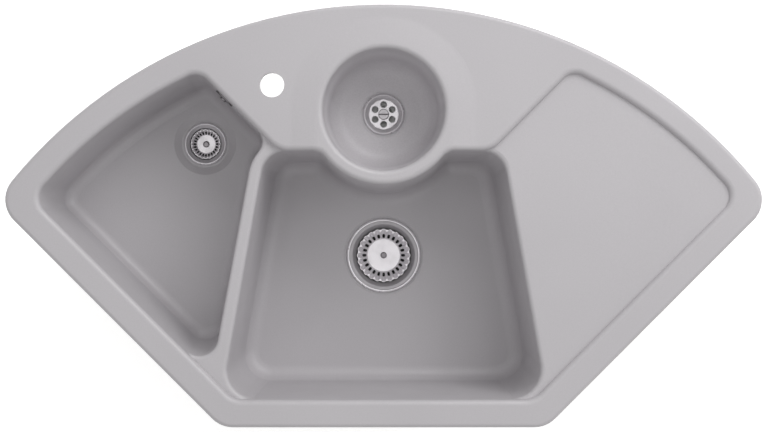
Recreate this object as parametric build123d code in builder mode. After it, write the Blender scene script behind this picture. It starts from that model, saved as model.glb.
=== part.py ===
"""Corner kitchen sink in glazed fireclay, with its three wastes, two basket strainers and overflow.

The sink drops into a worktop and hangs by its rim. Origin: middle of the rim's width, 300 mm
behind its straight front edge, on the plane of its underside, which rests on the worktop.
+X to the right seen from the front, +Y to the back, +Z up. All sizes are in millimetres.
"""

import os
from collections import namedtuple
from math import asin, cos, radians, sin, sqrt, tan

from build123d import *

# Levels of the fireclay body, from the underside of the rim
RIM_TOP = 12.0
COLLAR_TOP = 16.0
TRAY_TOP = 2.0  # top of the divider, and the drainer where it meets the main bowl
MAIN_FLOOR = -188.0
SIDE_FLOOR = -143.0
ROUND_FLOOR = -104.0
WALL = 10.0
PAN_DEPTH = 8.0  # how far the drainer's underside hangs below the rim
DRAFT = 3.0  # degrees that every bowl wall leans

# A straight wall is (the direction that it faces away from the bowls, in degrees, its distance
# from the origin). Distances are at rim level.
Wall = namedtuple("Wall", "facing distance")
RIM_FRONT = Wall(270, 300)
RIM_LEFT = Wall(225, 376)
RIM_RIGHT = Wall(315, 376)
WELL_FRONT = Wall(270, 260.7)
WELL_LEFT = Wall(225, 335.5)
WELL_RIGHT = Wall(315, 335.5)
DECK_LEFT = Wall(45, -39.5)
DECK_RIGHT = Wall(135, -41.7)
DECK_FRONT = Wall(90, 94)
MAIN_LEFT = Wall(170, 183.5)
MAIN_RIGHT = Wall(10, 184)
SIDE_DIVIDER = Wall(-10.4, -200.5)
SIDE_FLARE = Wall(-34.6, -199.3)

# The curved back of the rim and of the bowls and drainer inside it
BACK_CENTRE_Y = -380.7
RIM_BACK_R = 682.7
SIDE_BACK_R = 644.0
DRAINER_BACK_R = 647.3

# Round bowl, its ring wall and the raised collar around it
ROUND_Y = 152.2
ROUND_R = 87.2
ROUND_DRAFT = 4.0
RING_R = 107.0
COLLAR_R = 132.0
COLLAR_FLAT_R = 96.0
COLLAR_BLEND = 40.0
COLLAR_MARGIN = 10.0

# Roundings
RIM_CORNER = 42.0
RIM_EDGE = 6.0
WELL_EDGE = 8.0
MAIN_EDGE = 7.0
SIDE_EDGE = 5.0
ROUND_EDGE = 7.0
MAIN_BLEND = 22.0
SIDE_BLEND = 18.0
ROUND_BLEND = 26.0
APEX_CORNER = 24.0
TIP_CORNER = 27.0
DECK_CORNER = 35.0
RING_CORNER = 24.0
MAIN_BACK_CORNER = 35.0
MAIN_FRONT_CORNER = 42.0
SIDE_DECK_CORNER = 22.0
SIDE_FLARE_BEND = 60.0

WELL_LAP = 0.2  # bowls are cut this much wider than the well, whose wall then trims them
CUT_ABOVE = 30.0  # cutters reach this high
SPACE_X = 600.0  # half sizes of a space that is larger than the whole sink
SPACE_Y = 400.0
PAN_MARGIN = 8.0  # the pan under the well reaches this far past the well's wall
DRAINER_RISE = 2.6  # the drainer falls by this much towards the main bowl
DRAINER_LENGTH = 300.0

# Tap hole and overflow hole
TAP_HOLE = (-158.7, 186.9)
TAP_HOLE_R = 17.5
OVERFLOW_ALONG = -282.5  # place along the deck wall, measured square to its facing
OVERFLOW_Z = -20.0
OVERFLOW_HOLE_R = 11.0

# A waste: where its drain is, the ceramic floor that it sits in and the depth of the recess
# there, the steel flange and cup, and the rings of rubber that seal it
Waste = namedtuple(
    "Waste", "name x y floor recess flange_r hole_r cup_r cup_depth seal_in_r seal_out_r body_r"
)
MAIN = Waste("main", 0, -60, MAIN_FLOOR, 3.0, 57.0, 48.0, 42.0, 26.0, 49.6, 52.0, 58.0)
SIDE = Waste("side", -270, 110, SIDE_FLOOR, 5.0, 32.5, 27.0, 24.0, 23.0, 27.8, 29.5, 36.0)
ROUND = Waste("round", 0, ROUND_Y, ROUND_FLOOR, 2.0, 31.0, 27.0, 22.0, 1.5, 27.4, 28.0, 36.0)
RECESS_MARGIN = 4.0
SIDE_DIMPLE_R = 47.0
SIDE_DIMPLE_FLOOR_R = 36.0

SHEET = 1.0  # pressed stainless steel
FLANGE_CREST = 3.0  # middle of the flange's bead above its seat
FLANGE_LIP = 0.9
LEDGE = (52.4, 48.4)  # flat ring inside the main flange's bead, from radius to radius
LEDGE_RISE = 1.6  # its height above the seat
LEDGE_BEND = 1.5
BEAD = 2.5
BEAD_BEND = 1.2
SHOULDER_DROP = 1.5  # the cup's upper bend, below the flange's seat
CUP_BEND = 2.5
CUP_FLOOR_BEND = 2.0
GAP = 0.05  # between pieces that touch
SEAL_GAP = 0.2
SLACK = 0.3
BODY_SEAL = 3.0
PLASTIC = 2.6
BODY_DEPTH = 72.0  # end of an upright outlet below the flange seat
BODY_CONE_TOP = 34.0
BODY_CONE_END = 48.0
SPIGOT_R = 23.9  # 1 1/2 inch male pipe thread
BOSS_R = 7.0
BOSS_DEPTH = 20.0
WEBS = 3
WEB_T = 2.5

# The round bowl's waste body: a closed chamber with a throat on top and an outlet to the back
THROAT_R = 13.4
CHAMBER_DEPTH = 57.0
CHAMBER_CORNER = 5.0
OUTLET_NECK_R = 25.0
OUTLET_NECK_END = 32.0  # from the drain's axis
OUTLET_END = 58.0

# Screws
SCREW_R = 2.95
SCREW_HOLE_R = 3.05
SHEET_HOLE_R = 3.2
SCREW_HEAD_H = 3.4
SCREW_LENGTH = 22.0
SLOT_W = 2.0
SLOT_DEPTH = 1.4

# Openings in a cup's floor: radius of each and of the circle that they stand on
CupHoles = namedtuple("CupHoles", "r circle_r head_r")
MAIN_CUP_HOLES = CupHoles(9.5, 25.0, 7.0)
SIDE_CUP_HOLES = CupHoles(5.0, 13.8, 5.0)
CUP_HOLES = 6

# A lift-out basket: a flat disc and a cone that rises from it to a flat rim. Flutes pressed into
# the cone widen outwards and end as lobes in the rim; each has a drain slot at its foot. The
# disc's and rim's drops are below the flange seat.
Basket = namedtuple(
    "Basket", "disc_r shoulder_r rim_r disc_drop rim_drop flute_r lobe_r flute_start_r"
    " flute_sheet slot_in_r slot_out_r slot_w plug_r"
)
MAIN_BASKET = Basket(25.2, 36.8, 39.8, 14.0, 1.4, 2.4, 3.6, 28.2, 0.8, 26.8, 33.0, 3.9, 37.5)
SIDE_BASKET = Basket(14.2, 20.2, 21.9, 11.0, 1.4, 1.35, 1.9, 16.2, 0.6, 14.6, 19.0, 2.4, 20.5)
FLUTES = 24
BASKET_BEND = 1.5
PLUG_T = 2.6
PLUG_DISH = 1.2
STEM_R = 1.8
STEM_HOLE_R = 1.9
STEM_HEAD_R = 5.0
STEM_HEAD_H = 2.2
COLLAR_T = 1.2
BUTTON_R = 5.5

# Fixed strainer of the round bowl
STRAINER_CIRCLE_R = 14.7
STRAINER_HOLE_R = 5.1
STRAINER_HOLES = 6
STRAINER_PAD_R = 24.0
STRAINER_PAD_CORNER = 9.0
STRAINER_PAD_T = 0.9
STRAINER_SCREW_R = 8.0
STRAINER_SCREW_H = 2.4

# Overflow: rosette on the wall, elbow behind it, and the pipe down to the side bowl's waste
ROSETTE_R = 16.0
ROSETTE_H = 2.2
ROSETTE_BAR = 2.6
ROSETTE_OPEN_IN_R = 6.0
ROSETTE_OPEN_OUT_R = 10.2
ROSETTE_OPENINGS = 6
ROSETTE_CORNER = 0.7
WALL_SEAL_R = 16.5
ELBOW_FLANGE_R = 17.0
ELBOW_FLANGE_T = 3.0
ELBOW_BEHIND = 24.0  # elbow's upright axis behind the wall's outer face
ELBOW_R = 14.0
ELBOW_BORE_R = 11.0
ELBOW_END = -58.0
PIPE_R = 12.5
PIPE_BORE_R = 10.5
PIPE_BEND = 32.0
SOCKET_R = 15.0
SOCKET_DEPTH = 12.0
NUT_R = 19.5
NUT_BORE_R = 15.3
NUT_THREAD = 10.0  # length of the nut over the socket
NUT_END = 6.0  # and past the socket's end
NUT_SIDES = 12
PIPE_SEAL = 3.0
BRANCH_END = 52.0  # end of the waste body's side branch, from the drain's axis
BRANCH_DROP = 32.0  # below the side bowl's flange seat


def meet(first, second, grow=0.0):
    """Corner of two walls, each moved outward by grow."""
    a, b = radians(first.facing), radians(second.facing)
    p, q = first.distance + grow, second.distance + grow
    spread = sin(b - a)
    return ((p * sin(b) - q * sin(a)) / spread, (q * cos(a) - p * cos(b)) / spread)


def meet_back(wall, radius, side, grow=0.0):
    """Corner of a wall and the curved back, on the given side (+1 or -1) of the wall's middle."""
    angle = radians(wall.facing)
    reach = wall.distance + grow - BACK_CENTRE_Y * sin(angle)
    half = side * sqrt((radius + grow) ** 2 - reach**2)
    x = reach * cos(angle) - half * sin(angle)
    y = BACK_CENTRE_Y + reach * sin(angle) + half * cos(angle)
    return (x, y)


def back_arc(start, end, radius):
    """Arc about the back's centre from start to end."""
    middle = Vector((start[0] + end[0]) / 2, (start[1] + end[1]) / 2 - BACK_CENTRE_Y)
    crown = middle.normalized() * radius
    return ThreePointArc(start, (crown.X, crown.Y + BACK_CENTRE_Y), end)


def ring_corner(grow=0.0):
    """Right-hand point where the ring wall meets the deck's front wall."""
    y = DECK_FRONT.distance + grow
    return (sqrt((RING_R - grow) ** 2 - (y - ROUND_Y) ** 2), y)


def flipped(point):
    return (-point[0], point[1])


def upright_plane(x, y):
    """Plane whose local axes are the radius from an upright axis and the height."""
    return Plane(origin=(x, y, 0), x_dir=(1, 0, 0), z_dir=(0, -1, 0))


def upright_axis(x, y):
    return Axis((x, y, 0), (0, 0, 1))


def side_faces(part):
    return [face for face in part.faces() if abs(face.normal_at(face.center()).Z) < 0.1]


def corner_edge(part, point):
    """The steep edge that starts nearest to a corner of the outline at rim level."""
    top = Vector(point[0], point[1], RIM_TOP)
    steep = [e for e in part.edges() if abs((e @ 0).Z - (e @ 1).Z) > 50]
    return min(steep, key=lambda e: min((top - (e @ 0)).length, (top - (e @ 1)).length))


def edges_at(part, height):
    """Edges that lie flat at a height."""
    flat = part.edges().filter_by(lambda e: e.bounding_box().size.Z < 0.01)
    return flat.filter_by(lambda e: abs(e.center().Z - height) < 0.01)


# ---------------------------------------------------------------- fireclay body


def side_corners(grow):
    """Side bowl: deck corner, flare bend, front corner, left tip and back apex."""
    return [
        meet(DECK_LEFT, SIDE_FLARE, grow),
        meet(SIDE_FLARE, SIDE_DIVIDER, grow),
        meet(SIDE_DIVIDER, WELL_LEFT, grow),
        meet_back(WELL_LEFT, SIDE_BACK_R, -1, grow),
        meet_back(DECK_LEFT, SIDE_BACK_R, 1, grow),
    ]


def main_corners(grow):
    """Main bowl: back left, front left, front right and back right."""
    return [
        meet(DECK_FRONT, MAIN_LEFT, grow),
        meet(MAIN_LEFT, WELL_FRONT, grow),
        meet(WELL_FRONT, MAIN_RIGHT, grow),
        meet(MAIN_RIGHT, DECK_FRONT, grow),
    ]


def well_corners(grow=0.0):
    """The well's outline: the left apex, then by the deck and the ring to the right-hand side."""
    return [
        meet_back(DECK_LEFT, SIDE_BACK_R, 1, grow),
        meet(DECK_LEFT, DECK_FRONT, grow),
        flipped(ring_corner(grow)),
        ring_corner(grow),
        meet(DECK_RIGHT, DECK_FRONT, grow),
        meet_back(DECK_RIGHT, DRAINER_BACK_R, -1, grow),
        meet_back(WELL_RIGHT, DRAINER_BACK_R, 1, grow),
        meet(WELL_FRONT, WELL_RIGHT, grow),
        meet(WELL_LEFT, WELL_FRONT, grow),
        meet_back(WELL_LEFT, SIDE_BACK_R, -1, grow),
    ]


WELL_ROUNDINGS = [
    APEX_CORNER, DECK_CORNER, RING_CORNER, RING_CORNER, DECK_CORNER,
    APEX_CORNER, TIP_CORNER, DECK_CORNER, DECK_CORNER, TIP_CORNER,
]
RING_ENDS = (2, 3)  # corners of the outline where the ring wall starts and ends


def well_column():
    """Everything inside the rim's inner wall, from below the bowls to above the rim."""
    corners = well_corners()
    with BuildPart() as column:
        with BuildSketch(Plane.XY.offset(RIM_TOP)) as outline:
            with BuildLine():
                Polyline(*corners[0:3])
                ThreePointArc(corners[2], (0, ROUND_Y - RING_R), corners[3])
                Polyline(*corners[3:6])
                back_arc(corners[5], corners[6], DRAINER_BACK_R)
                Polyline(*corners[6:10])
                back_arc(corners[9], corners[0], SIDE_BACK_R)
            make_face()
        extrude(outline.sketch, amount=MAIN_FLOOR - RIM_TOP - WALL)
        extrude(outline.sketch, amount=CUT_ABOVE - RIM_TOP)
        draft(side_faces(column), Plane.XY.offset(RIM_TOP), -DRAFT)
        for corner, radius in zip(corners, WELL_ROUNDINGS):
            fillet(corner_edge(column, corner), radius)
    return column.part


def pan():
    """Floor under the drainer and the divider, hanging a little below the rim."""
    corners = well_corners(PAN_MARGIN)
    with BuildPart() as under:
        with BuildSketch(Plane.XY.offset(-PAN_DEPTH)):
            with BuildLine():
                Polyline(corners[0], corners[1], corners[4], corners[5])
                back_arc(corners[5], corners[6], DRAINER_BACK_R + PAN_MARGIN)
                Polyline(*corners[6:10])
                back_arc(corners[9], corners[0], SIDE_BACK_R + PAN_MARGIN)
            make_face()
        extrude(amount=PAN_DEPTH + TRAY_TOP)
        upright = under.edges().filter_by(Axis.Z)
        for number, (corner, radius) in enumerate(zip(corners, WELL_ROUNDINGS)):
            if number not in RING_ENDS:
                fillet(upright.sort_by_distance((*corner, 0))[0], radius)
        fillet(edges_at(under.part, -PAN_DEPTH), PAN_DEPTH / 2)
    return under.part


def main_bowl():
    """Hollow of the main bowl below the rim, with the ring wall standing into it."""
    corners = main_corners(WELL_LAP)
    ring = ring_corner(WELL_LAP)
    with BuildPart() as bowl:
        with BuildSketch(Plane.XY.offset(RIM_TOP)):
            with BuildLine():
                Polyline(flipped(ring), *corners, ring)
                ThreePointArc(ring, (0, ROUND_Y - RING_R + WELL_LAP), flipped(ring))
            make_face()
        extrude(amount=MAIN_FLOOR - RIM_TOP)
        draft(side_faces(bowl), Plane.XY.offset(RIM_TOP), -DRAFT)
        for corner in (corners[0], corners[3]):
            fillet(corner_edge(bowl, corner), MAIN_BACK_CORNER)
        for corner in (corners[1], corners[2]):
            fillet(corner_edge(bowl, corner), MAIN_FRONT_CORNER)
        for corner in (ring, flipped(ring)):
            fillet(corner_edge(bowl, corner), RING_CORNER)
        fillet(edges_at(bowl.part, MAIN_FLOOR), MAIN_BLEND)
    return bowl.part


def side_solid(grow, floor, blend):
    """The side bowl's hollow, or its outside when grow is the wall's thickness."""
    corners = side_corners(grow)
    radii = [SIDE_DECK_CORNER, SIDE_FLARE_BEND, TIP_CORNER, TIP_CORNER, APEX_CORNER]
    outside = max(grow, 0)
    with BuildPart() as bowl:
        with BuildSketch(Plane.XY.offset(RIM_TOP)):
            with BuildLine():
                Polyline(corners[4], *corners[:4])
                back_arc(corners[3], corners[4], SIDE_BACK_R + grow)
            make_face()
        extrude(amount=floor - RIM_TOP)
        draft(side_faces(bowl), Plane.XY.offset(RIM_TOP), -DRAFT)
        for corner, radius in zip(corners, radii):
            fillet(corner_edge(bowl, corner), radius + outside)
        fillet(edges_at(bowl.part, floor), blend)
    return bowl.part


def with_mouth(bowl, edge_radius):
    """A bowl's hollow opened into the space above the tray, with its mouth rounded over."""
    with BuildPart() as hollow:
        with BuildSketch(Plane.XY.offset(TRAY_TOP)):
            Rectangle(2 * SPACE_X, 2 * SPACE_Y)
        extrude(amount=CUT_ABOVE)
        add(bowl)
        mouth = edges_at(hollow.part, TRAY_TOP)
        mouth = mouth.filter_by(lambda e: abs(e.center().X) < SPACE_X - 1)
        mouth = mouth.filter_by(lambda e: abs(e.center().Y) < SPACE_Y - 1)
        fillet(mouth, edge_radius)
    return hollow.part


def drainer_ramp():
    """Wedge left standing in the drainer, so that it falls towards the main bowl."""
    start = MAIN_RIGHT.distance + MAIN_EDGE + WALL
    plane = Plane(origin=(0, 0, 0), x_dir=Vector(1, 0, 0).rotate(Axis.Z, MAIN_RIGHT.facing),
                  z_dir=Vector(0, -1, 0).rotate(Axis.Z, MAIN_RIGHT.facing))
    with BuildPart() as ramp:
        with BuildSketch(plane):
            with BuildLine():
                Polyline((start, TRAY_TOP), (start + DRAINER_LENGTH, TRAY_TOP + DRAINER_RISE),
                         (start + DRAINER_LENGTH, -PAN_DEPTH), (start, -PAN_DEPTH), close=True)
            make_face()
        extrude(amount=SPACE_Y, both=True)
    return ramp.part


def well():
    """All that is hollow inside the rim: tray, side bowl and main bowl."""
    main_space = with_mouth(main_bowl(), MAIN_EDGE)
    side_space = with_mouth(side_solid(WELL_LAP, SIDE_FLOOR, SIDE_BLEND), SIDE_EDGE)
    column = well_column()
    ramp = drainer_ramp()
    with BuildPart() as hollow:
        add(main_space)
        add(side_space)
        add(column, mode=Mode.INTERSECT)
        add(ramp, mode=Mode.SUBTRACT)
    return hollow.part


def rim_slab():
    """The rim and deck as one plate, with its outer edge rounded over."""
    left, right = meet_back(RIM_LEFT, RIM_BACK_R, -1), meet_back(RIM_RIGHT, RIM_BACK_R, 1)
    with BuildPart() as slab:
        with BuildSketch() as outline:
            with BuildLine():
                back_arc(left, right, RIM_BACK_R)
                Polyline(right, meet(RIM_FRONT, RIM_RIGHT), meet(RIM_LEFT, RIM_FRONT), left)
            make_face()
            fillet(outline.vertices(), RIM_CORNER)
        extrude(amount=RIM_TOP)
        fillet(edges_at(slab.part, RIM_TOP), RIM_EDGE)
    return slab.part


def collar():
    """Raised collar: a low cone round the round bowl whose slopes run forward to the main bowl."""
    outer = COLLAR_R + COLLAR_MARGIN
    slope = [(COLLAR_FLAT_R, COLLAR_TOP), (COLLAR_R, RIM_TOP), (outer, RIM_TOP)]
    with BuildPart() as raised:
        with BuildSketch(upright_plane(0, ROUND_Y)) as profile:
            with BuildLine():
                FilletPolyline((0, COLLAR_TOP), *slope, radius=COLLAR_BLEND)
                Polyline((outer, RIM_TOP), (outer, TRAY_TOP), (0, TRAY_TOP), (0, COLLAR_TOP))
            make_face()
        revolve(profile.sketch, axis=upright_axis(0, ROUND_Y), revolution_arc=90)
        extrude(profile.sketch, amount=RING_R + COLLAR_MARGIN)
        mirror(about=Plane.YZ)
    return raised.part


def main_outside():
    """Outside of the main bowl's walls and floor, hollowed at the back behind the ring wall."""
    floor = MAIN_FLOOR - WALL
    corners = main_corners(WALL)
    radii = [MAIN_BACK_CORNER, MAIN_FRONT_CORNER, MAIN_FRONT_CORNER, MAIN_BACK_CORNER]
    pocket_top = ROUND_FLOOR + WALL
    lean = tan(radians(DRAFT))
    with BuildPart() as outside:
        with BuildSketch(Plane.XY.offset(RIM_TOP)):
            Polygon(*corners, align=None)
        extrude(amount=floor - RIM_TOP)
        draft(side_faces(outside), Plane.XY.offset(RIM_TOP), -DRAFT)
        for corner, radius in zip(corners, radii):
            fillet(corner_edge(outside, corner), radius + WALL)
        fillet(edges_at(outside.part, floor), MAIN_BLEND + WALL)
        with BuildSketch(upright_plane(0, ROUND_Y)):
            with BuildLine():
                top_r = RING_R - WALL + lean * (RIM_TOP - pocket_top)
                low_r = RING_R - WALL + lean * (RIM_TOP - floor)
                Polyline((0, pocket_top), (top_r, pocket_top), (low_r, floor), (low_r, 2 * floor),
                         (0, 2 * floor), close=True)
            make_face()
        revolve(axis=upright_axis(0, ROUND_Y), mode=Mode.SUBTRACT)
    return outside.part


def round_solid(grow, floor, blend, top):
    """The round bowl's hollow, or its outside when grow is the wall's thickness."""
    lean = tan(radians(ROUND_DRAFT))
    top_r = ROUND_R + grow + lean * (top - COLLAR_TOP)
    floor_r = ROUND_R + grow + lean * (floor - COLLAR_TOP)
    with BuildPart() as turned:
        with BuildSketch(upright_plane(0, ROUND_Y)):
            with BuildLine():
                FilletPolyline((top_r, top), (floor_r, floor), (0, floor), radius=blend)
                Polyline((0, floor), (0, top), (top_r, top))
            make_face()
        revolve(axis=upright_axis(0, ROUND_Y))
    return turned.part


def drain_cut(waste):
    """Hole and flange recess round a drain; the side bowl's recess is a shallow dimple."""
    seat = waste.floor - waste.recess
    bottom = waste.floor - 2 * WALL
    seat_r, lip_r = waste.flange_r + GAP, waste.flange_r + RECESS_MARGIN
    if waste is SIDE:
        seat_r, lip_r = SIDE_DIMPLE_FLOOR_R, SIDE_DIMPLE_R
    with BuildPart() as cut:
        with BuildSketch(upright_plane(waste.x, waste.y)):
            with BuildLine():
                Polyline((0, waste.floor + GAP), (0, bottom), (waste.hole_r, bottom),
                         (waste.hole_r, seat), (seat_r, seat), (lip_r, waste.floor + GAP),
                         close=True)
            make_face()
        revolve(axis=upright_axis(waste.x, waste.y))
    return cut.part


def overflow_plane(behind=0.0):
    """Plane on the side bowl's deck wall at the overflow, facing into the bowl."""
    lean, facing = radians(DRAFT), radians(DECK_LEFT.facing)
    distance = DECK_LEFT.distance - (RIM_TOP - OVERFLOW_Z) * tan(lean)
    x = distance * cos(facing) + OVERFLOW_ALONG * sin(facing)
    y = distance * sin(facing) - OVERFLOW_ALONG * cos(facing)
    inward = (-cos(facing) * cos(lean), -sin(facing) * cos(lean), sin(lean))
    on_wall = Plane(origin=(x, y, OVERFLOW_Z), x_dir=(-sin(facing), cos(facing), 0), z_dir=inward)
    return on_wall.offset(-behind)


def rim_edges(part, inner_wall):
    """Top edges of the rim, deck and collar along the well's wall."""
    high = [e for e in part.edges() if e.bounding_box().min.Z > RIM_TOP - 0.01]
    return [e for e in high if min(face.distance_to(e @ 0.5) for face in inner_wall) < 0.001]


def mouth_of_round(part):
    """Inner edge of the collar round the round bowl."""
    circles = edges_at(part, COLLAR_TOP).filter_by(GeomType.CIRCLE)
    return circles.filter_by(lambda e: abs(e.radius - ROUND_R) < 1)


os.makedirs("parts", exist_ok=True)

# ---------------------------------------------------------------- sink body

well_space = well()
upper_solids = [rim_slab(), collar()]
rim_wall = side_faces(well_column())
with BuildPart() as rim:
    for solid in upper_solids:
        add(solid)
    add(well_space, mode=Mode.SUBTRACT)
    fillet(rim_edges(rim.part, rim_wall), WELL_EDGE)

lower_solids = [
    pan(),
    main_outside(),
    side_solid(WALL, SIDE_FLOOR - WALL, SIDE_BLEND + WALL),
    round_solid(WALL, ROUND_FLOOR - WALL, ROUND_BLEND + WALL, TRAY_TOP),
]
round_space = round_solid(0, ROUND_FLOOR, ROUND_BLEND, CUT_ABOVE)
drain_cuts = [drain_cut(waste) for waste in (MAIN, SIDE, ROUND)]

with BuildPart() as sink_body:
    for solid in lower_solids:
        add(solid)
    split(bisect_by=Plane.XY.offset(TRAY_TOP), keep=Keep.BOTTOM)
    add(well_space, mode=Mode.SUBTRACT)
    add(rim.part)
    add(round_space, mode=Mode.SUBTRACT)
    fillet(mouth_of_round(sink_body.part), ROUND_EDGE)
    for cut in drain_cuts:
        add(cut, mode=Mode.SUBTRACT)
    with BuildSketch():
        with Locations(TAP_HOLE):
            Circle(TAP_HOLE_R)
    extrude(amount=CUT_ABOVE, both=True, mode=Mode.SUBTRACT)
    with BuildSketch(overflow_plane()):
        Circle(OVERFLOW_HOLE_R)
    extrude(amount=-2 * WALL, mode=Mode.SUBTRACT)
sink_body.part.label = "sink_body"
export_step(sink_body.part, "parts/sink_body.step")


# ---------------------------------------------------------------- wastes


def seat(waste):
    return waste.floor - waste.recess


def under_flange(waste, radius):
    """Height of the flange's underside at a radius: level under the main flange's ledge, else on
    the slope from the bead down to the cup."""
    if waste is MAIN:
        return seat(waste) + LEDGE_RISE - SHEET / 2
    crest_r = waste.flange_r - BEAD
    slope = (FLANGE_CREST + SHOULDER_DROP) / (crest_r - waste.cup_r)
    middle = seat(waste) + FLANGE_CREST - slope * (crest_r - radius)
    return middle - SHEET / 2 * sqrt(1 + slope**2)


def flange_bends(waste):
    """Bends of a flange's middle line inside its bead, and the radius of each."""
    if waste is MAIN:
        ledge_z = seat(waste) + LEDGE_RISE
        fall = LEDGE[1] - waste.cup_r  # the shoulder falls at 45 degrees
        points = [(LEDGE[0], ledge_z), (LEDGE[1], ledge_z), (waste.cup_r, ledge_z - fall)]
        return points, [LEDGE_BEND, LEDGE_BEND, CUP_BEND]
    return [(waste.cup_r, seat(waste) - SHOULDER_DROP)], [CUP_BEND]


def cup_floor(waste):
    """Top of the cup's floor."""
    return seat(waste) - waste.cup_depth + SHEET / 2


def ceramic_underside(waste):
    return waste.floor - WALL


for waste, holes in ((MAIN, MAIN_CUP_HOLES), (SIDE, SIDE_CUP_HOLES)):
    lip = (waste.flange_r - SHEET / 2, seat(waste) + FLANGE_LIP)
    crest = (waste.flange_r - BEAD, seat(waste) + FLANGE_CREST)
    bends, bend_radii = flange_bends(waste)
    wall_foot = (waste.cup_r, seat(waste) - waste.cup_depth)
    with BuildPart() as flange_cup:
        with BuildSketch(upright_plane(waste.x, waste.y)):
            with BuildLine():
                FilletPolyline(lip, crest, *bends, wall_foot, (SHEET_HOLE_R, wall_foot[1]),
                               radius=[BEAD_BEND, *bend_radii, CUP_FLOOR_BEND])
            trace(line_width=SHEET)
        revolve(axis=upright_axis(waste.x, waste.y))
        with BuildSketch(Plane((waste.x, waste.y, wall_foot[1]))):
            with PolarLocations(holes.circle_r, CUP_HOLES):
                Circle(holes.r)
        extrude(amount=SHEET, both=True, mode=Mode.SUBTRACT)
    flange_cup.part.label = f"{waste.name}_flange_cup"
    export_step(flange_cup.part, f"parts/{waste.name}_flange_cup.step")

for waste in (MAIN, SIDE, ROUND):
    inner_top = under_flange(waste, waste.seal_in_r) - GAP
    outer_top = under_flange(waste, waste.seal_out_r) - SEAL_GAP
    with BuildPart() as flange_seal:
        with BuildSketch(upright_plane(waste.x, waste.y)):
            with BuildLine():
                Polyline((waste.seal_in_r, seat(waste)), (waste.seal_out_r, seat(waste)),
                         (waste.seal_out_r, outer_top), (waste.seal_in_r, inner_top), close=True)
            make_face()
        revolve(axis=upright_axis(waste.x, waste.y))
    flange_seal.part.label = f"{waste.name}_flange_seal"
    export_step(flange_seal.part, f"parts/{waste.name}_flange_seal.step")

    seal_plane = Plane((waste.x, waste.y, ceramic_underside(waste) - BODY_SEAL))
    with BuildPart() as body_seal:
        with BuildSketch(seal_plane):
            Circle(waste.body_r - SHEET)
            Circle(waste.hole_r + SHEET, mode=Mode.SUBTRACT)
        extrude(amount=BODY_SEAL)
    body_seal.part.label = f"{waste.name}_body_seal"
    export_step(body_seal.part, f"parts/{waste.name}_body_seal.step")

# The side bowl's waste has a branch for the overflow, which points at the overflow's elbow
elbow_axis = overflow_plane(WALL + ELBOW_BEHIND).origin
to_elbow = Vector(elbow_axis.X - SIDE.x, elbow_axis.Y - SIDE.y)
branch_z = seat(SIDE) - BRANCH_DROP
branch_plane = Plane((SIDE.x, SIDE.y, branch_z), z_dir=to_elbow)

for waste in (MAIN, SIDE):
    flange_z = ceramic_underside(waste) - BODY_SEAL - PLASTIC / 2
    wall_r = waste.cup_r + SLACK + SHEET / 2 + PLASTIC / 2
    spigot_r = SPIGOT_R - PLASTIC / 2
    boss_top = min(cup_floor(waste) - SHEET - SLACK, flange_z)
    with BuildPart() as waste_body:
        with BuildSketch(upright_plane(waste.x, waste.y)):
            with BuildLine():
                FilletPolyline(
                    (waste.body_r, flange_z), (wall_r, flange_z),
                    (wall_r, seat(waste) - BODY_CONE_TOP),
                    (spigot_r, seat(waste) - BODY_CONE_END),
                    (spigot_r, seat(waste) - BODY_DEPTH),
                    radius=PLASTIC,
                )
            trace(line_width=PLASTIC)
        revolve(axis=upright_axis(waste.x, waste.y))
        with BuildSketch(Plane((waste.x, waste.y, boss_top))):
            Circle(BOSS_R)
            with PolarLocations(0, WEBS):
                with Locations((wall_r / 2, 0)):
                    Rectangle(wall_r, WEB_T)
        extrude(amount=-BOSS_DEPTH)
        if waste is SIDE:
            with BuildSketch(branch_plane.offset(wall_r)):
                Circle(SOCKET_R)
            extrude(amount=BRANCH_END - wall_r)
            with BuildSketch(branch_plane.offset(BOSS_R)):
                Circle(PIPE_BORE_R)
            extrude(amount=BRANCH_END - BOSS_R, mode=Mode.SUBTRACT)
            with BuildSketch(branch_plane.offset(BRANCH_END - SOCKET_DEPTH)):
                Circle(PIPE_R + GAP)
            extrude(amount=SOCKET_DEPTH, mode=Mode.SUBTRACT)
        with BuildSketch(Plane((waste.x, waste.y, boss_top))):
            Circle(SCREW_HOLE_R)
        extrude(amount=-2 * BOSS_DEPTH, mode=Mode.SUBTRACT)
    waste_body.part.label = f"{waste.name}_waste_body"
    export_step(waste_body.part, f"parts/{waste.name}_waste_body.step")

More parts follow.
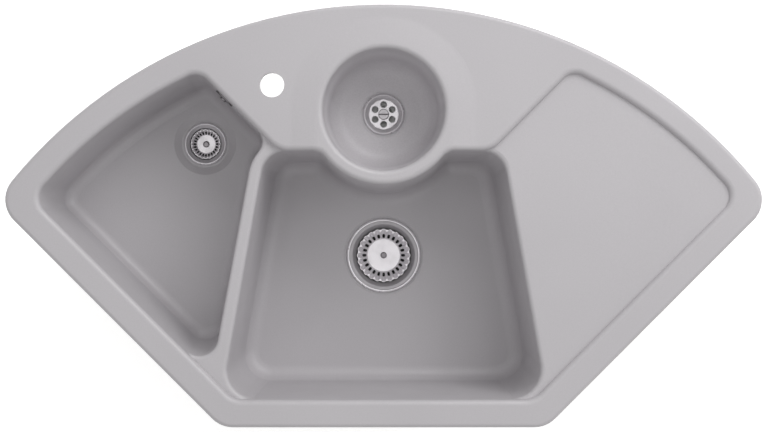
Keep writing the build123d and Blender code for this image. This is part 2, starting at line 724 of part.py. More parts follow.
chamber_top = ceramic_underside(ROUND) - BODY_SEAL
chamber_r = OUTLET_NECK_R + SLACK - PLASTIC
outlet_plane = Plane((ROUND.x, ROUND.y, chamber_top - CHAMBER_DEPTH / 2), z_dir=(0, 1, 0))
with BuildPart() as round_waste_body:
    with BuildSketch(Plane((ROUND.x, ROUND.y, chamber_top))):
        Circle(chamber_r + PLASTIC)
    extrude(amount=-CHAMBER_DEPTH)
    fillet(edges_at(round_waste_body.part, chamber_top - CHAMBER_DEPTH), CHAMBER_CORNER)
    with BuildSketch(Plane((ROUND.x, ROUND.y, chamber_top))):
        Circle(ROUND.body_r)
    extrude(amount=-PLASTIC)
    with BuildSketch(outlet_plane):
        Circle(OUTLET_NECK_R)
    extrude(amount=OUTLET_NECK_END)
    with BuildSketch(outlet_plane):
        Circle(SPIGOT_R)
    extrude(amount=OUTLET_END)
    with BuildSketch(Plane((ROUND.x, ROUND.y, chamber_top - PLASTIC))):
        Circle(chamber_r)
    extrude(amount=2 * PLASTIC - CHAMBER_DEPTH, mode=Mode.SUBTRACT)
    with BuildSketch(outlet_plane):
        Circle(SPIGOT_R - PLASTIC)
    extrude(amount=OUTLET_END, mode=Mode.SUBTRACT)
    with BuildSketch(Plane((ROUND.x, ROUND.y, chamber_top))):
        Circle(THROAT_R)
    extrude(amount=-PLASTIC, mode=Mode.SUBTRACT)
    with BuildSketch(Plane((ROUND.x, ROUND.y, chamber_top))):
        Circle(BOSS_R)
        with PolarLocations(0, WEBS):
            with Locations((THROAT_R / 2, 0)):
                Rectangle(THROAT_R + PLASTIC, WEB_T)
    extrude(amount=-BOSS_DEPTH)
    with BuildSketch(Plane((ROUND.x, ROUND.y, chamber_top))):
        Circle(SCREW_HOLE_R)
    extrude(amount=-BOSS_DEPTH, mode=Mode.SUBTRACT)
round_waste_body.part.label = "round_waste_body"
export_step(round_waste_body.part, "parts/round_waste_body.step")

for waste, holes in ((MAIN, MAIN_CUP_HOLES), (SIDE, SIDE_CUP_HOLES)):
    head_base = cup_floor(waste) + GAP
    with BuildPart() as centre_screw:
        with BuildSketch(Plane((waste.x, waste.y, head_base))):
            Circle(holes.head_r)
        extrude(amount=SCREW_HEAD_H)
        fillet(centre_screw.edges().sort_by(Axis.Z)[-1], SCREW_HEAD_H / 2)
        with BuildSketch(Plane((waste.x, waste.y, head_base))):
            Circle(SCREW_R)
        extrude(amount=-SCREW_LENGTH)
        with BuildSketch(Plane((waste.x, waste.y, head_base + SCREW_HEAD_H))):
            Rectangle(2 * holes.head_r, SLOT_W)
        extrude(amount=-SLOT_DEPTH, mode=Mode.SUBTRACT)
    centre_screw.part.label = f"{waste.name}_centre_screw"
    export_step(centre_screw.part, f"parts/{waste.name}_centre_screw.step")

# ---------------------------------------------------------------- lift-out baskets


def flute_body(basket, start, end, grow):
    """A long drop from start to end, round at both ends: a flute's hollow, or its outside when
    grow is the sheet's thickness. Start and end are (radius, height) in the basket's X-Z plane."""
    thin, thick = basket.flute_r + grow, basket.lobe_r + grow
    along = Vector(end[0] - start[0], 0, end[1] - start[1])
    tilt = asin((thick - thin) / along.length)
    plane = Plane(origin=(start[0], 0, start[1]), x_dir=along, z_dir=(0, -1, 0))
    tip, end_tip = (-thin, 0), (along.length + thick, 0)
    touch = (-thin * sin(tilt), thin * cos(tilt))
    end_touch = (along.length - thick * sin(tilt), thick * cos(tilt))
    with BuildPart() as drop:
        with BuildSketch(plane):
            with BuildLine():
                TangentArc(tip, touch, tangent=(0, 1))
                Line(touch, end_touch)
                TangentArc(end_tip, end_touch, tangent=(0, 1))
                Line(end_tip, tip)
            make_face()
        revolve(axis=Axis(plane.origin, plane.x_dir))
    return drop.part


for waste, basket in ((MAIN, MAIN_BASKET), (SIDE, SIDE_BASKET)):
    disc_z = seat(waste) - basket.disc_drop
    rim_z = seat(waste) - basket.rim_drop
    centre = (waste.x, waste.y)
    # The flutes' axes lie on the cone's upper side and reach the rim's upper side
    rise = (rim_z - disc_z) / (basket.shoulder_r - basket.disc_r)
    lobe_end = (basket.shoulder_r, rim_z + SHEET / 2)
    flute_start = (
        basket.flute_start_r,
        lobe_end[1] - rise * (basket.shoulder_r - basket.flute_start_r),
    )
    flute_outside = flute_body(basket, flute_start, lobe_end, basket.flute_sheet)
    flute_hollow = flute_body(basket, flute_start, lobe_end, 0)
    # Only what is well below the cone's and the rim's upper sides is kept of a flute's outside
    lid = Plane(origin=(lobe_end[0], 0, lobe_end[1] - SHEET / 2), x_dir=(0, 1, 0),
                z_dir=(-rise, 0, 1)).offset(-SHEET / 4)
    flute_outside = split(flute_outside, bisect_by=lid, keep=Keep.BOTTOM)
    flute_outside = split(flute_outside, bisect_by=Plane.XY.offset(rim_z), keep=Keep.BOTTOM)
    with BuildPart() as strainer_basket:
        with BuildSketch(upright_plane(*centre)):
            with BuildLine():
                FilletPolyline((STEM_HOLE_R, disc_z), (basket.disc_r, disc_z),
                               (basket.shoulder_r, rim_z), (basket.rim_r, rim_z),
                               radius=BASKET_BEND)
            trace(line_width=SHEET)
        revolve(axis=upright_axis(*centre))
        with Locations(centre):
            with PolarLocations(0, FLUTES):
                add(flute_outside)
            with PolarLocations(0, FLUTES):
                add(flute_hollow, mode=Mode.SUBTRACT)
        with BuildSketch(Plane((*centre, disc_z - basket.lobe_r))):
            with PolarLocations((basket.slot_in_r + basket.slot_out_r) / 2, FLUTES):
                SlotOverall(basket.slot_out_r - basket.slot_in_r, basket.slot_w)
        extrude(amount=basket.disc_drop, mode=Mode.SUBTRACT)
    strainer_basket.part.label = f"{waste.name}_basket"
    export_step(strainer_basket.part, f"parts/{waste.name}_basket.step")

    disc_under = disc_z - SHEET / 2 - GAP
    plug_under = disc_under - PLUG_T
    collar_under = plug_under - COLLAR_T
    button_end = cup_floor(waste) + GAP + SCREW_HEAD_H + GAP
    with BuildPart() as basket_stem:
        with BuildSketch(upright_plane(*centre)):
            with BuildLine():
                head_z = disc_z + SHEET / 2 + GAP
                Spline((0, head_z + STEM_HEAD_H), (STEM_HEAD_R, head_z),
                       tangents=[(1, 0), (0, -1)])
                Polyline((STEM_HEAD_R, head_z), (STEM_R, head_z), (STEM_R, plug_under),
                         (BUTTON_R, plug_under), (BUTTON_R, collar_under),
                         (SCREW_R, collar_under - COLLAR_T), (SCREW_R, button_end),
                         (0, button_end), (0, head_z + STEM_HEAD_H))
            make_face()
        revolve(axis=upright_axis(*centre))
    basket_stem.part.label = f"{waste.name}_basket_stem"
    export_step(basket_stem.part, f"parts/{waste.name}_basket_stem.step")

    with BuildPart() as basket_plug:
        with BuildSketch(upright_plane(*centre)):
            with BuildLine():
                Polyline((STEM_HOLE_R, disc_under), (basket.disc_r, disc_under),
                         (basket.plug_r, disc_under - PLUG_DISH),
                         (basket.plug_r, plug_under - PLUG_DISH),
                         (basket.disc_r, plug_under), (STEM_HOLE_R, plug_under), close=True)
            make_face()
        revolve(axis=upright_axis(*centre))
        outer = basket_plug.edges().filter_by(GeomType.CIRCLE).group_by(SortBy.RADIUS)[-1]
        fillet(outer, PLUG_T / 4)
    basket_plug.part.label = f"{waste.name}_basket_plug"
    export_step(basket_plug.part, f"parts/{waste.name}_basket_plug.step")

# ---------------------------------------------------------------- strainer of the round bowl

strainer_z = seat(ROUND) - ROUND.cup_depth
pad_top = strainer_z + SHEET / 2 + STRAINER_PAD_T
with BuildPart() as round_strainer:
    with BuildSketch(upright_plane(ROUND.x, ROUND.y)):
        with BuildLine():
            FilletPolyline(
                (ROUND.flange_r - SHEET / 2, seat(ROUND) + FLANGE_LIP),
                (ROUND.flange_r - BEAD, seat(ROUND) + FLANGE_CREST),
                (ROUND.cup_r, strainer_z), (SHEET_HOLE_R, strainer_z),
                radius=[BEAD_BEND, CUP_BEND],
            )
        trace(line_width=SHEET)
    revolve(axis=upright_axis(ROUND.x, ROUND.y))
    with BuildSketch(Plane((ROUND.x, ROUND.y, strainer_z))) as pad:
        RegularPolygon(STRAINER_PAD_R, STRAINER_HOLES, rotation=90)
        fillet(pad.vertices(), STRAINER_PAD_CORNER)
        Circle(SHEET_HOLE_R, mode=Mode.SUBTRACT)
    extrude(amount=SHEET / 2 + STRAINER_PAD_T)
    with BuildSketch(Plane((ROUND.x, ROUND.y, strainer_z))):
        with PolarLocations(STRAINER_CIRCLE_R, STRAINER_HOLES, start_angle=30):
            Circle(STRAINER_HOLE_R)
    extrude(amount=BEAD, both=True, mode=Mode.SUBTRACT)
round_strainer.part.label = "round_strainer"
export_step(round_strainer.part, "parts/round_strainer.step")

with BuildPart() as round_centre_screw:
    with BuildSketch(Plane((ROUND.x, ROUND.y, pad_top + GAP))):
        Circle(STRAINER_SCREW_R)
    extrude(amount=STRAINER_SCREW_H)
    fillet(round_centre_screw.edges().sort_by(Axis.Z)[-1], STRAINER_SCREW_H / 2)
    with BuildSketch(Plane((ROUND.x, ROUND.y, pad_top + GAP))):
        Circle(SCREW_R)
    extrude(amount=-SCREW_LENGTH)
    with BuildSketch(Plane((ROUND.x, ROUND.y, pad_top + GAP + STRAINER_SCREW_H))):
        Rectangle(2 * STRAINER_SCREW_R, SLOT_W)
    extrude(amount=-SLOT_DEPTH, mode=Mode.SUBTRACT)
round_centre_screw.part.label = "round_centre_screw"
export_step(round_centre_screw.part, "parts/round_centre_screw.step")

# ---------------------------------------------------------------- overflow of the side bowl

with BuildPart() as overflow_rosette:
    with BuildSketch(overflow_plane(-GAP)):
        Circle(ROSETTE_R)
    extrude(amount=ROSETTE_H)
    front = overflow_rosette.faces().sort_by_distance(overflow_plane(-2 * ROSETTE_H).origin)[0]
    fillet(front.edges(), ROSETTE_H * 0.7)
    with BuildSketch(overflow_plane()) as openings:
        Circle(ROSETTE_OPEN_OUT_R)
        Circle(ROSETTE_OPEN_IN_R, mode=Mode.SUBTRACT)
        with PolarLocations(0, ROSETTE_OPENINGS):
            with Locations((ROSETTE_R, 0)):
                Rectangle(2 * ROSETTE_R, ROSETTE_BAR, align=(Align.MAX, Align.CENTER),
                          mode=Mode.SUBTRACT)
        fillet(openings.vertices(), ROSETTE_CORNER)
    extrude(amount=2 * ROSETTE_H, mode=Mode.SUBTRACT)
    with BuildSketch(overflow_plane()):
        Circle(SCREW_HOLE_R)
    extrude(amount=2 * ROSETTE_H, mode=Mode.SUBTRACT)
overflow_rosette.part.label = "overflow_rosette"
export_step(overflow_rosette.part, "parts/overflow_rosette.step")

screw_reach = WALL + BODY_SEAL + ELBOW_FLANGE_T + 2 * GAP
with BuildPart() as overflow_screw:
    with BuildSketch(overflow_plane(-2 * GAP - ROSETTE_H)):
        Circle(STEM_HEAD_R)
    extrude(amount=STEM_HEAD_H)
    tip = overflow_screw.faces().sort_by_distance(overflow_plane(-4 * ROSETTE_H).origin)[0]
    fillet(tip.edges(), STEM_HEAD_H / 2)
    with BuildSketch(overflow_plane(-2 * GAP - ROSETTE_H)):
        Circle(SCREW_R)
    extrude(amount=-(screw_reach + ROSETTE_H))
overflow_screw.part.label = "overflow_screw"
export_step(overflow_screw.part, "parts/overflow_screw.step")

with BuildPart() as overflow_wall_seal:
    with BuildSketch(overflow_plane(WALL + GAP)):
        Circle(WALL_SEAL_R)
        Circle(OVERFLOW_HOLE_R + SHEET, mode=Mode.SUBTRACT)
    extrude(amount=-(BODY_SEAL - GAP))
overflow_wall_seal.part.label = "overflow_wall_seal"
export_step(overflow_wall_seal.part, "parts/overflow_wall_seal.step")

flange_plane = overflow_plane(WALL + BODY_SEAL + GAP)
with BuildPart() as overflow_elbow:
    with BuildSketch(flange_plane):
        Circle(ELBOW_FLANGE_R)
    extrude(amount=-ELBOW_FLANGE_T)
    with BuildSketch(flange_plane):
        Circle(ELBOW_R)
    extrude(amount=-(ELBOW_BEHIND - BODY_SEAL))
    with Locations(elbow_axis):
        Sphere(SOCKET_R)
    with BuildSketch(Plane(elbow_axis)):
        Circle(SOCKET_R)
    extrude(amount=ELBOW_END - elbow_axis.Z)
    with BuildSketch(flange_plane):
        Circle(ELBOW_BORE_R)
    extrude(amount=-(ELBOW_BEHIND - BODY_SEAL), mode=Mode.SUBTRACT)
    with Locations(elbow_axis):
        Sphere(ELBOW_BORE_R + SHEET, mode=Mode.SUBTRACT)
    with BuildSketch(Plane(elbow_axis)):
        Circle(PIPE_BORE_R)
    extrude(amount=ELBOW_END - elbow_axis.Z, mode=Mode.SUBTRACT)
    with BuildSketch(Plane((elbow_axis.X, elbow_axis.Y, ELBOW_END))):
        Circle(PIPE_R + GAP)
    extrude(amount=SOCKET_DEPTH, mode=Mode.SUBTRACT)
    with BuildSketch(flange_plane):
        Circle(STEM_HEAD_R)
        Rectangle(WEB_T, 2 * ELBOW_BORE_R + SHEET)
        Circle(SCREW_HOLE_R, mode=Mode.SUBTRACT)
    extrude(amount=-ELBOW_FLANGE_T)
overflow_elbow.part.label = "overflow_elbow"
export_step(overflow_elbow.part, "parts/overflow_elbow.step")

pipe_top = (elbow_axis.X, elbow_axis.Y, ELBOW_END + SOCKET_DEPTH - SHEET)
pipe_turn = (elbow_axis.X, elbow_axis.Y, branch_z)
pipe_end = branch_plane.offset(BRANCH_END - SOCKET_DEPTH + SHEET).origin
with BuildPart() as overflow_pipe:
    with BuildLine() as route:
        FilletPolyline(pipe_top, pipe_turn, pipe_end, radius=PIPE_BEND)
    with BuildSketch(Plane(pipe_top)):
        Circle(PIPE_R)
        Circle(PIPE_BORE_R, mode=Mode.SUBTRACT)
    sweep(path=route.wires()[0])
overflow_pipe.part.label = "overflow_pipe"
export_step(overflow_pipe.part, "parts/overflow_pipe.step")

# Each joint's plane is at the socket's end and faces along the pipe that goes into it
pipe_joints = [
    Plane((elbow_axis.X, elbow_axis.Y, ELBOW_END), z_dir=(0, 0, -1)),
    branch_plane.offset(BRANCH_END),
]
with BuildPart() as overflow_nuts:
    for joint in pipe_joints:
        with BuildSketch(joint.offset(-NUT_THREAD)):
            RegularPolygon(NUT_R, NUT_SIDES)
        extrude(amount=NUT_THREAD + NUT_END)
        with BuildSketch(joint.offset(-NUT_THREAD)):
            Circle(NUT_BORE_R)
        extrude(amount=NUT_THREAD + PIPE_SEAL, mode=Mode.SUBTRACT)
        with BuildSketch(joint):
            Circle(PIPE_R + SLACK)
        extrude(amount=NUT_END, mode=Mode.SUBTRACT)
overflow_nuts.part.label = "overflow_nuts"
export_step(overflow_nuts.part, "parts/overflow_nuts.step")

with BuildPart() as overflow_pipe_seals:
    for joint in pipe_joints:
        with BuildSketch(joint.offset(GAP)):
            Circle(SOCKET_R)
            Circle(PIPE_R + GAP, mode=Mode.SUBTRACT)
        extrude(amount=PIPE_SEAL - 2 * GAP)
overflow_pipe_seals.part.label = "overflow_pipe_seals"
export_step(overflow_pipe_seals.part, "parts/overflow_pipe_seals.step")
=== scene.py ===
"""Looks of the corner kitchen sink: glazed fireclay, pressed steel wastes, plastic pipework.

The camera looks straight down on the sink from above its middle. Unless a comment says
otherwise, lengths are in metres and colours are screen values from 0 to 255.
"""

import math

import bpy
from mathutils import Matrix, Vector


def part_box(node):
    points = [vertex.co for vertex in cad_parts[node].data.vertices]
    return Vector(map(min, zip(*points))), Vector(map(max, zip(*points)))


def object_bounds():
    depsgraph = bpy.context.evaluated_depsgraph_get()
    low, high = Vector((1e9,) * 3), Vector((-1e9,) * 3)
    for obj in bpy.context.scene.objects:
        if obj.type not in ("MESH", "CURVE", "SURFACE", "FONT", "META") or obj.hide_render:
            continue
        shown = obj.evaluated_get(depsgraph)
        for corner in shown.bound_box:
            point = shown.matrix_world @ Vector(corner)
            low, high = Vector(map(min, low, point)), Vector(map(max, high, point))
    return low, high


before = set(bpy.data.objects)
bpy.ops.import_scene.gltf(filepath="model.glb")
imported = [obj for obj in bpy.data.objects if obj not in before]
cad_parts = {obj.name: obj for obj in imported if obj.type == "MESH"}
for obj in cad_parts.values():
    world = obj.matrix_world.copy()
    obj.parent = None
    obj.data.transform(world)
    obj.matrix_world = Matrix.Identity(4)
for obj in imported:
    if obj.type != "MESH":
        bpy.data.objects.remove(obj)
cad_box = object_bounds()

# View: where the camera stands, and its sensor and lens in millimetres
CAMERA_PLACE = (0.0005, 0.0008, 2.362)
SENSOR_WIDTH = 36.0
LENS = 77.6

# Light: a white sky, and soft round lamps at one distance from the origin. Each lamp has its
# azimuth from +X towards +Y and its elevation, in degrees, and its power in watts.
SKY_LIGHT = 0.5
LAMP_DISTANCE = 2.6
LAMP_SIZE = 1.6
LAMPS = {
    "right_back": (22.5, 38, 16.1),
    "back": (67.5, 38, 27.3),
    "front": (292.5, 38, 3.4),
    "left": (180, 18, 2.9),
    "above": (150, 80, 3.6),
}

# Floor, just below the lowest piece
FLOOR_DROP = 0.0005
FLOOR_SIZE = 12.0
FLOOR_COLOUR = (242, 242, 242)
FLOOR_ROUGH = 0.9
FLOOR_GLOW = 0.55

# How much weaker green is than red and blue in the greys of the glaze and the steel
MAUVE = 3

# Glaze: its two drifting shades, and the shades of its fine mottle and its specks
GLAZE_LIGHT = 189
GLAZE_DARK = 185
MOTTLE = 173
SPECK = 158
GLAZE_IOR = 1.5

# Painted light: the round bowl's glaze is painted paler, standing in for light on its walls: how
# wide that bowl is, how wide the change is at its wall, and the heights between which the glaze
# changes from the rim's to the bowl's
ROUND_PAINTED_LIGHT = 205
ROUND_RADIUS = 0.0872
ROUND_BLUR = 0.003
PAINTED_LIGHT_FROM = 0.004
PAINTED_LIGHT_TO = -0.035

# Bare clay underneath: between these values of Z of a face's normal the glaze gives way to it
CLAY_LIGHT = (206, 199, 186)
CLAY_DARK = (184, 175, 160)
GLAZE_ENDS = -0.62
CLAY_BEGINS = -0.7
CLAY_EXTRA_ROUGH = 0.4

# Shades of the steel, and how much darker its finest lines are
STEEL = 226
BEAD_STEEL = 240
BASKET_STEEL = 240
SCREW_STEEL = 165
DARK_STEEL = 130
ROSETTE_STEEL = 125
SMUDGE = 170
TURNED_LINES = 14
PLAIN_LINES = 25

# Steel that is left dull: the inner and outer radius of each band, and half the width over
# which its edges fade
SATIN_STEEL = 198
MAIN_SATIN_STEEL = 172
MAIN_SATIN = (0.038, 0.0533)
SIDE_SATIN = (0.02, 0.0298)
ROUND_SATIN = (0.0222, 0.0287)
SATIN_BLUR = 0.0003
SATIN_EXTRA_ROUGH = 0.16

# Painted shade in the slot of the round bowl's screw: how far below the screw's top it turns
# dark, and over what height
SLOT_PAINTED_SHADE = 70
SLOT_DARK_BELOW = 0.00065
SLOT_BLUR = 0.0002

# Rubber and plastics
RUBBER = (20, 20, 21)
RUBBER_DUST = (38, 38, 38)
WASTE_LIGHT = (218, 218, 218)
WASTE_DARK = (208, 208, 208)
NUT_LIGHT = (196, 198, 200)
NUT_DARK = (184, 186, 189)

# Most of a noise lies between these values
NOISE_LOW = 0.3
NOISE_HIGH = 0.7

# Sockets of the mix node when it mixes colours
MIX_FACTOR = 0
MIX_FIRST = 6
MIX_SECOND = 7
MIX_RESULT = 2


def axis_of(node):
    """Where the upright axis of a round node stands, to a tenth of a millimetre."""
    low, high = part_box(node)
    return (round((low[0] + high[0]) / 2, 4), round((low[1] + high[1]) / 2, 4))


def top_of(node):
    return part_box(node)[1][2]


MAIN_DRAIN = axis_of("main_flange_cup")
SIDE_DRAIN = axis_of("side_flange_cup")
ROUND_DRAIN = axis_of("round_strainer")


def linear(red, green, blue):
    """A colour given as screen values, in the form that a socket takes."""
    def channel(value):
        value /= 255
        return value / 12.92 if value <= 0.04045 else ((value + 0.055) / 1.055) ** 2.4
    return (channel(red), channel(green), channel(blue), 1.0)


def grey(shade):
    """The sink's own kind of grey, which leans a little towards mauve."""
    return linear(shade, shade - MAUVE, shade)


class Look:
    """A material in the making, with short ways to add what the materials below share."""

    def __init__(self, name):
        self.material = bpy.data.materials.new(name)
        self.material.use_nodes = True
        self.tree = self.material.node_tree
        self.shader = self.tree.nodes["Principled BSDF"]
        self.place = self.add("ShaderNodeTexCoord").outputs["Object"]

    def add(self, kind, **settings):
        node = self.tree.nodes.new(kind)
        for key, value in settings.items():
            setattr(node, key, value)
        return node

    def put(self, value, socket):
        """A link if value is a socket, else a plain value."""
        if isinstance(value, bpy.types.NodeSocket):
            self.tree.links.new(value, socket)
        else:
            socket.default_value = value

    def noise(self, scale, detail, roughness=0.5, place=None):
        """Noise from 0 to 1, with about scale grains to the metre."""
        node = self.add("ShaderNodeTexNoise")
        self.put(self.place if place is None else place, node.inputs["Vector"])
        node.inputs["Scale"].default_value = scale
        node.inputs["Detail"].default_value = detail
        node.inputs["Roughness"].default_value = roughness
        return node.outputs["Fac"]

    def ramp(self, value, low, high, out_low=0.0, out_high=1.0):
        """Value taken from low..high to out_low..out_high, held at the ends."""
        node = self.add("ShaderNodeMapRange")
        self.put(value, node.inputs["Value"])
        node.inputs["From Min"].default_value = low
        node.inputs["From Max"].default_value = high
        node.inputs["To Min"].default_value = out_low
        node.inputs["To Max"].default_value = out_high
        return node.outputs["Result"]

    def fall(self, value, low, high):
        """1 up to low, and from there down to 0 at high."""
        return self.ramp(value, low, high, 1.0, 0.0)

    def spread(self, noise, low, high):
        """A noise taken to low..high."""
        return self.ramp(noise, NOISE_LOW, NOISE_HIGH, low, high)

    def maths(self, operation, first, second=0.0):
        node = self.add("ShaderNodeMath", operation=operation)
        self.put(first, node.inputs[0])
        self.put(second, node.inputs[1])
        return node.outputs[0]

    def mix(self, factor, first, second):
        node = self.add("ShaderNodeMix", data_type="RGBA")
        self.put(factor, node.inputs[MIX_FACTOR])
        self.put(first, node.inputs[MIX_FIRST])
        self.put(second, node.inputs[MIX_SECOND])
        return node.outputs[MIX_RESULT]

    def bump(self, height, distance, strength, below=None):
        """Fine relief, distance deep at full strength, on top of the relief below."""
        node = self.add("ShaderNodeBump")
        self.put(height, node.inputs["Height"])
        node.inputs["Distance"].default_value = distance
        node.inputs["Strength"].default_value = strength
        if below is not None:
            self.put(below, node.inputs["Normal"])
        return node.outputs["Normal"]

    def parts(self, vector):
        """The X, Y and Z of a vector."""
        split = self.add("ShaderNodeSeparateXYZ")
        self.put(vector, split.inputs[0])
        return split.outputs

    def height(self):
        return self.parts(self.place)[2]

    def from_axis(self, centre):
        """Distance from the upright axis through centre."""
        across, along, _ = self.parts(self.place)
        across = self.maths("SUBTRACT", across, centre[0])
        along = self.maths("SUBTRACT", along, centre[1])
        square = self.maths("ADD", self.maths("MULTIPLY", across, across),
                            self.maths("MULTIPLY", along, along))
        return self.maths("SQRT", square)

    def turned(self, radius):
        """A place that stays the same all round the axis that radius is measured from."""
        join = self.add("ShaderNodeCombineXYZ")
        self.put(radius, join.inputs[0])
        self.put(self.height(), join.inputs[1])
        return join.outputs[0]

    def finish(self, colour, roughness, normal=None, metallic=0.0):
        self.put(colour, self.shader.inputs["Base Color"])
        self.put(roughness, self.shader.inputs["Roughness"])
        self.shader.inputs["Metallic"].default_value = metallic
        if normal is not None:
            self.put(normal, self.shader.inputs["Normal"])
        return self.material


def seen_directly(tree):
    """1 for rays from the camera, from a glossy surface or through glass, else 0."""
    path = tree.nodes.new("ShaderNodeLightPath")
    seen = path.outputs["Is Camera Ray"]
    for ray in ("Is Glossy Ray", "Is Transmission Ray"):
        either = tree.nodes.new("ShaderNodeMath")
        either.operation = "MAXIMUM"
        tree.links.new(seen, either.inputs[0])
        tree.links.new(path.outputs[ray], either.inputs[1])
        seen = either.outputs[0]
    return seen


def fireclay():
    """Satin grey glaze with a faint fine mottle; bare clay on the faces that look down."""
    look = Look("fireclay")
    drift = look.noise(3.5, detail=2)
    mottle = look.noise(420, detail=3, roughness=0.7)
    speck = look.noise(1500, detail=1)
    glaze = look.mix(look.ramp(drift, 0.35, 0.65), grey(GLAZE_LIGHT), grey(GLAZE_DARK))
    # Painted light: paler glaze inside the round bowl below the rim, standing in for light on
    # its walls
    inside = look.fall(look.from_axis(ROUND_DRAIN), ROUND_RADIUS - ROUND_BLUR, ROUND_RADIUS)
    deep = look.fall(look.height(), PAINTED_LIGHT_TO, PAINTED_LIGHT_FROM)
    glaze = look.mix(look.maths("MULTIPLY", inside, deep), glaze, grey(ROUND_PAINTED_LIGHT))
    glaze = look.mix(look.ramp(mottle, 0.35, 0.7, out_high=0.3), glaze, grey(MOTTLE))
    glaze = look.mix(look.ramp(speck, 0.66, 0.74, out_high=0.35), glaze, grey(SPECK))
    clay_grain = look.noise(240, detail=4, roughness=0.65)
    clay = look.mix(clay_grain, linear(*CLAY_LIGHT), linear(*CLAY_DARK))
    up = look.parts(look.add("ShaderNodeNewGeometry").outputs["True Normal"])[2]
    ragged = look.spread(look.noise(22, detail=3), -0.12, 0.12)
    bare = look.ramp(look.maths("ADD", up, ragged), GLAZE_ENDS, CLAY_BEGINS)
    gloss = look.spread(look.noise(16, detail=3), 0.36, 0.44)
    roughness = look.maths("ADD", gloss, look.maths("MULTIPLY", bare, CLAY_EXTRA_ROUGH))
    wave = look.bump(look.noise(42, detail=2), 0.00035, strength=0.5)
    skin = look.bump(mottle, 0.00005, strength=0.6, below=wave)
    look.shader.inputs["IOR"].default_value = GLAZE_IOR
    return look.finish(look.mix(bare, glaze, clay), roughness, skin)


def turned_steel(name, centre, shade=STEEL, rough=0.3, metal=0.5, satin=None,
                 satin_shade=SATIN_STEEL):
    """Stainless steel pressed and turned about the upright axis through centre.

    satin is the (inner, outer) radius of a band that is left dull.
    """
    look = Look(name)
    radius = look.from_axis(centre)
    lines = look.noise(5200, detail=3, roughness=0.6, place=look.turned(radius))
    smudge = look.noise(70, detail=3)
    colour = look.mix(lines, grey(shade), grey(shade - TURNED_LINES))
    roughness = look.spread(smudge, rough - 0.05, rough + 0.05)
    if satin is not None:
        inner, outer = satin
        dull = look.maths("MULTIPLY",
                          look.ramp(radius, inner - SATIN_BLUR, inner + SATIN_BLUR),
                          look.fall(radius, outer - SATIN_BLUR, outer + SATIN_BLUR))
        soft = look.mix(lines, grey(satin_shade), grey(satin_shade - TURNED_LINES))
        colour = look.mix(dull, colour, soft)
        roughness = look.maths("ADD", roughness, look.maths("MULTIPLY", dull, SATIN_EXTRA_ROUGH))
    colour = look.mix(look.ramp(smudge, 0.45, 0.75, out_high=0.2), colour, grey(SMUDGE))
    grooves = look.bump(lines, 0.00002, strength=0.5)
    return look.finish(colour, roughness, grooves, metallic=metal)


def plain_steel(name, shade, rough=0.25, slot_top=None):
    """Small turned steel piece; below slot_top a screw's slot has painted shade."""
    look = Look(name)
    fine = look.noise(2600, detail=2)
    wear = look.noise(300, detail=3)
    colour = look.mix(fine, grey(shade), grey(shade - PLAIN_LINES))
    if slot_top is not None:
        # Painted shade: the screw's slot is darkened below slot_top
        slot_shade = look.fall(look.height(), slot_top - SLOT_BLUR, slot_top)
        colour = look.mix(slot_shade, colour, grey(SLOT_PAINTED_SHADE))
    roughness = look.spread(wear, rough - 0.06, rough + 0.1)
    return look.finish(colour, roughness, look.bump(fine, 0.00002, strength=0.4), metallic=1.0)


def rubber():
    """Black rubber, a little dusty."""
    look = Look("rubber")
    dust = look.noise(160, detail=4, roughness=0.6)
    grain = look.noise(1800, detail=2)
    colour = look.mix(look.ramp(dust, 0.4, 0.75), linear(*RUBBER), linear(*RUBBER_DUST))
    roughness = look.spread(dust, 0.62, 0.8)
    return look.finish(colour, roughness, look.bump(grain, 0.00005, strength=0.5))


def moulded_plastic(name, light, dark):
    """Moulded polypropylene: faint flow marks, fine spark-eroded grain."""
    look = Look(name)
    flow = look.noise(28, detail=3)
    grain = look.noise(1500, detail=2)
    colour = look.mix(flow, linear(*light), linear(*dark))
    roughness = look.spread(flow, 0.38, 0.5)
    return look.finish(colour, roughness, look.bump(grain, 0.00005, strength=0.35))


def paint(material, *pieces):
    for piece in pieces:
        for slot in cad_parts[piece].material_slots:
            slot.material = material


paint(fireclay(), "sink_body")
paint(turned_steel("main_flange_steel", MAIN_DRAIN, shade=BEAD_STEEL, satin=MAIN_SATIN,
                   satin_shade=MAIN_SATIN_STEEL), "main_flange_cup")
paint(turned_steel("side_flange_steel", SIDE_DRAIN, satin=SIDE_SATIN), "side_flange_cup")
paint(turned_steel("round_strainer_steel", ROUND_DRAIN, satin=ROUND_SATIN), "round_strainer")
for basket, drain in (("main_basket", MAIN_DRAIN), ("side_basket", SIDE_DRAIN)):
    paint(turned_steel(basket + "_steel", drain, shade=BASKET_STEEL, rough=0.45, metal=0.6),
          basket)
paint(plain_steel("screw_steel", SCREW_STEEL), "main_centre_screw", "side_centre_screw")
paint(plain_steel("dark_steel", DARK_STEEL), "main_basket_stem", "side_basket_stem",
      "overflow_screw")
paint(plain_steel("slotted_steel", SCREW_STEEL,
                  slot_top=top_of("round_centre_screw") - SLOT_DARK_BELOW),
      "round_centre_screw")
paint(plain_steel("overflow_steel", ROSETTE_STEEL, rough=0.35), "overflow_rosette")
paint(rubber(), "main_flange_seal", "side_flange_seal", "round_flange_seal", "main_body_seal",
      "side_body_seal", "round_body_seal", "overflow_wall_seal", "overflow_pipe_seals",
      "main_basket_plug", "side_basket_plug")
paint(moulded_plastic("waste_plastic", WASTE_LIGHT, WASTE_DARK), "main_waste_body",
      "side_waste_body", "round_waste_body", "overflow_elbow", "overflow_pipe")
paint(moulded_plastic("nut_plastic", NUT_LIGHT, NUT_DARK), "overflow_nuts")


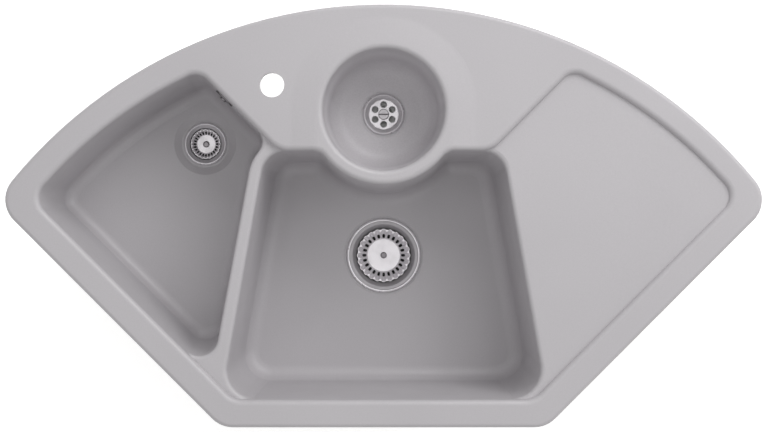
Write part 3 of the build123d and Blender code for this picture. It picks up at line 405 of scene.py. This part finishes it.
def floor():
    """White floor under the lowest piece; it keeps the sink's shadow and is open from below."""
    lowest = cad_box[0][2]
    bpy.ops.mesh.primitive_plane_add(size=FLOOR_SIZE, location=(0, 0, lowest - FLOOR_DROP))
    plane = bpy.context.object
    plane.name = "floor"
    look = Look("floor")
    look.finish(linear(*FLOOR_COLOUR), FLOOR_ROUGH)
    glow = look.add("ShaderNodeEmission")
    glow_strength = look.maths("MULTIPLY", seen_directly(look.tree), FLOOR_GLOW)
    look.put(glow_strength, glow.inputs["Strength"])
    both = look.add("ShaderNodeAddShader")
    look.put(look.shader.outputs[0], both.inputs[0])
    look.put(glow.outputs[0], both.inputs[1])
    clear = look.add("ShaderNodeBsdfTransparent")
    from_below = look.maths("MULTIPLY", look.add("ShaderNodeNewGeometry").outputs["Backfacing"],
                            look.add("ShaderNodeLightPath").outputs["Is Camera Ray"])
    choose = look.add("ShaderNodeMixShader")
    look.put(from_below, choose.inputs[0])
    look.put(both.outputs[0], choose.inputs[1])
    look.put(clear.outputs[0], choose.inputs[2])
    look.put(choose.outputs[0], look.tree.nodes["Material Output"].inputs["Surface"])
    plane.data.materials.append(look.material)


def sky():
    """White where it is seen, dimmer where it lights the sink."""
    world = bpy.data.worlds.new("studio")
    bpy.context.scene.world = world
    world.use_nodes = True
    tree = world.node_tree
    back = tree.nodes["Background"]
    back.inputs["Color"].default_value = (1, 1, 1, 1)
    strength = tree.nodes.new("ShaderNodeMapRange")
    tree.links.new(seen_directly(tree), strength.inputs["Value"])
    strength.inputs["To Min"].default_value = SKY_LIGHT
    strength.inputs["To Max"].default_value = 1.0
    tree.links.new(strength.outputs["Result"], back.inputs["Strength"])


def soft_lights():
    for name, (azimuth, elevation, power) in LAMPS.items():
        data = bpy.data.lights.new(name, "AREA")
        data.shape = "DISK"
        data.size = LAMP_SIZE
        data.energy = power
        lamp = bpy.data.objects.new(name, data)
        turn = math.radians(azimuth)
        lift = math.radians(elevation)
        towards = Vector((math.cos(lift) * math.cos(turn), math.cos(lift) * math.sin(turn),
                          math.sin(lift)))
        lamp.location = LAMP_DISTANCE * towards
        lamp.rotation_euler = (-towards).to_track_quat("-Z", "Y").to_euler()
        bpy.context.scene.collection.objects.link(lamp)


def camera():
    data = bpy.data.cameras.new("view")
    data.sensor_width = SENSOR_WIDTH
    data.lens = LENS
    seen_from = bpy.data.objects.new("view", data)
    seen_from.location = CAMERA_PLACE
    bpy.context.scene.collection.objects.link(seen_from)
    bpy.context.scene.camera = seen_from


floor()
sky()
soft_lights()
camera()
bpy.context.scene.view_settings.view_transform = "Standard"
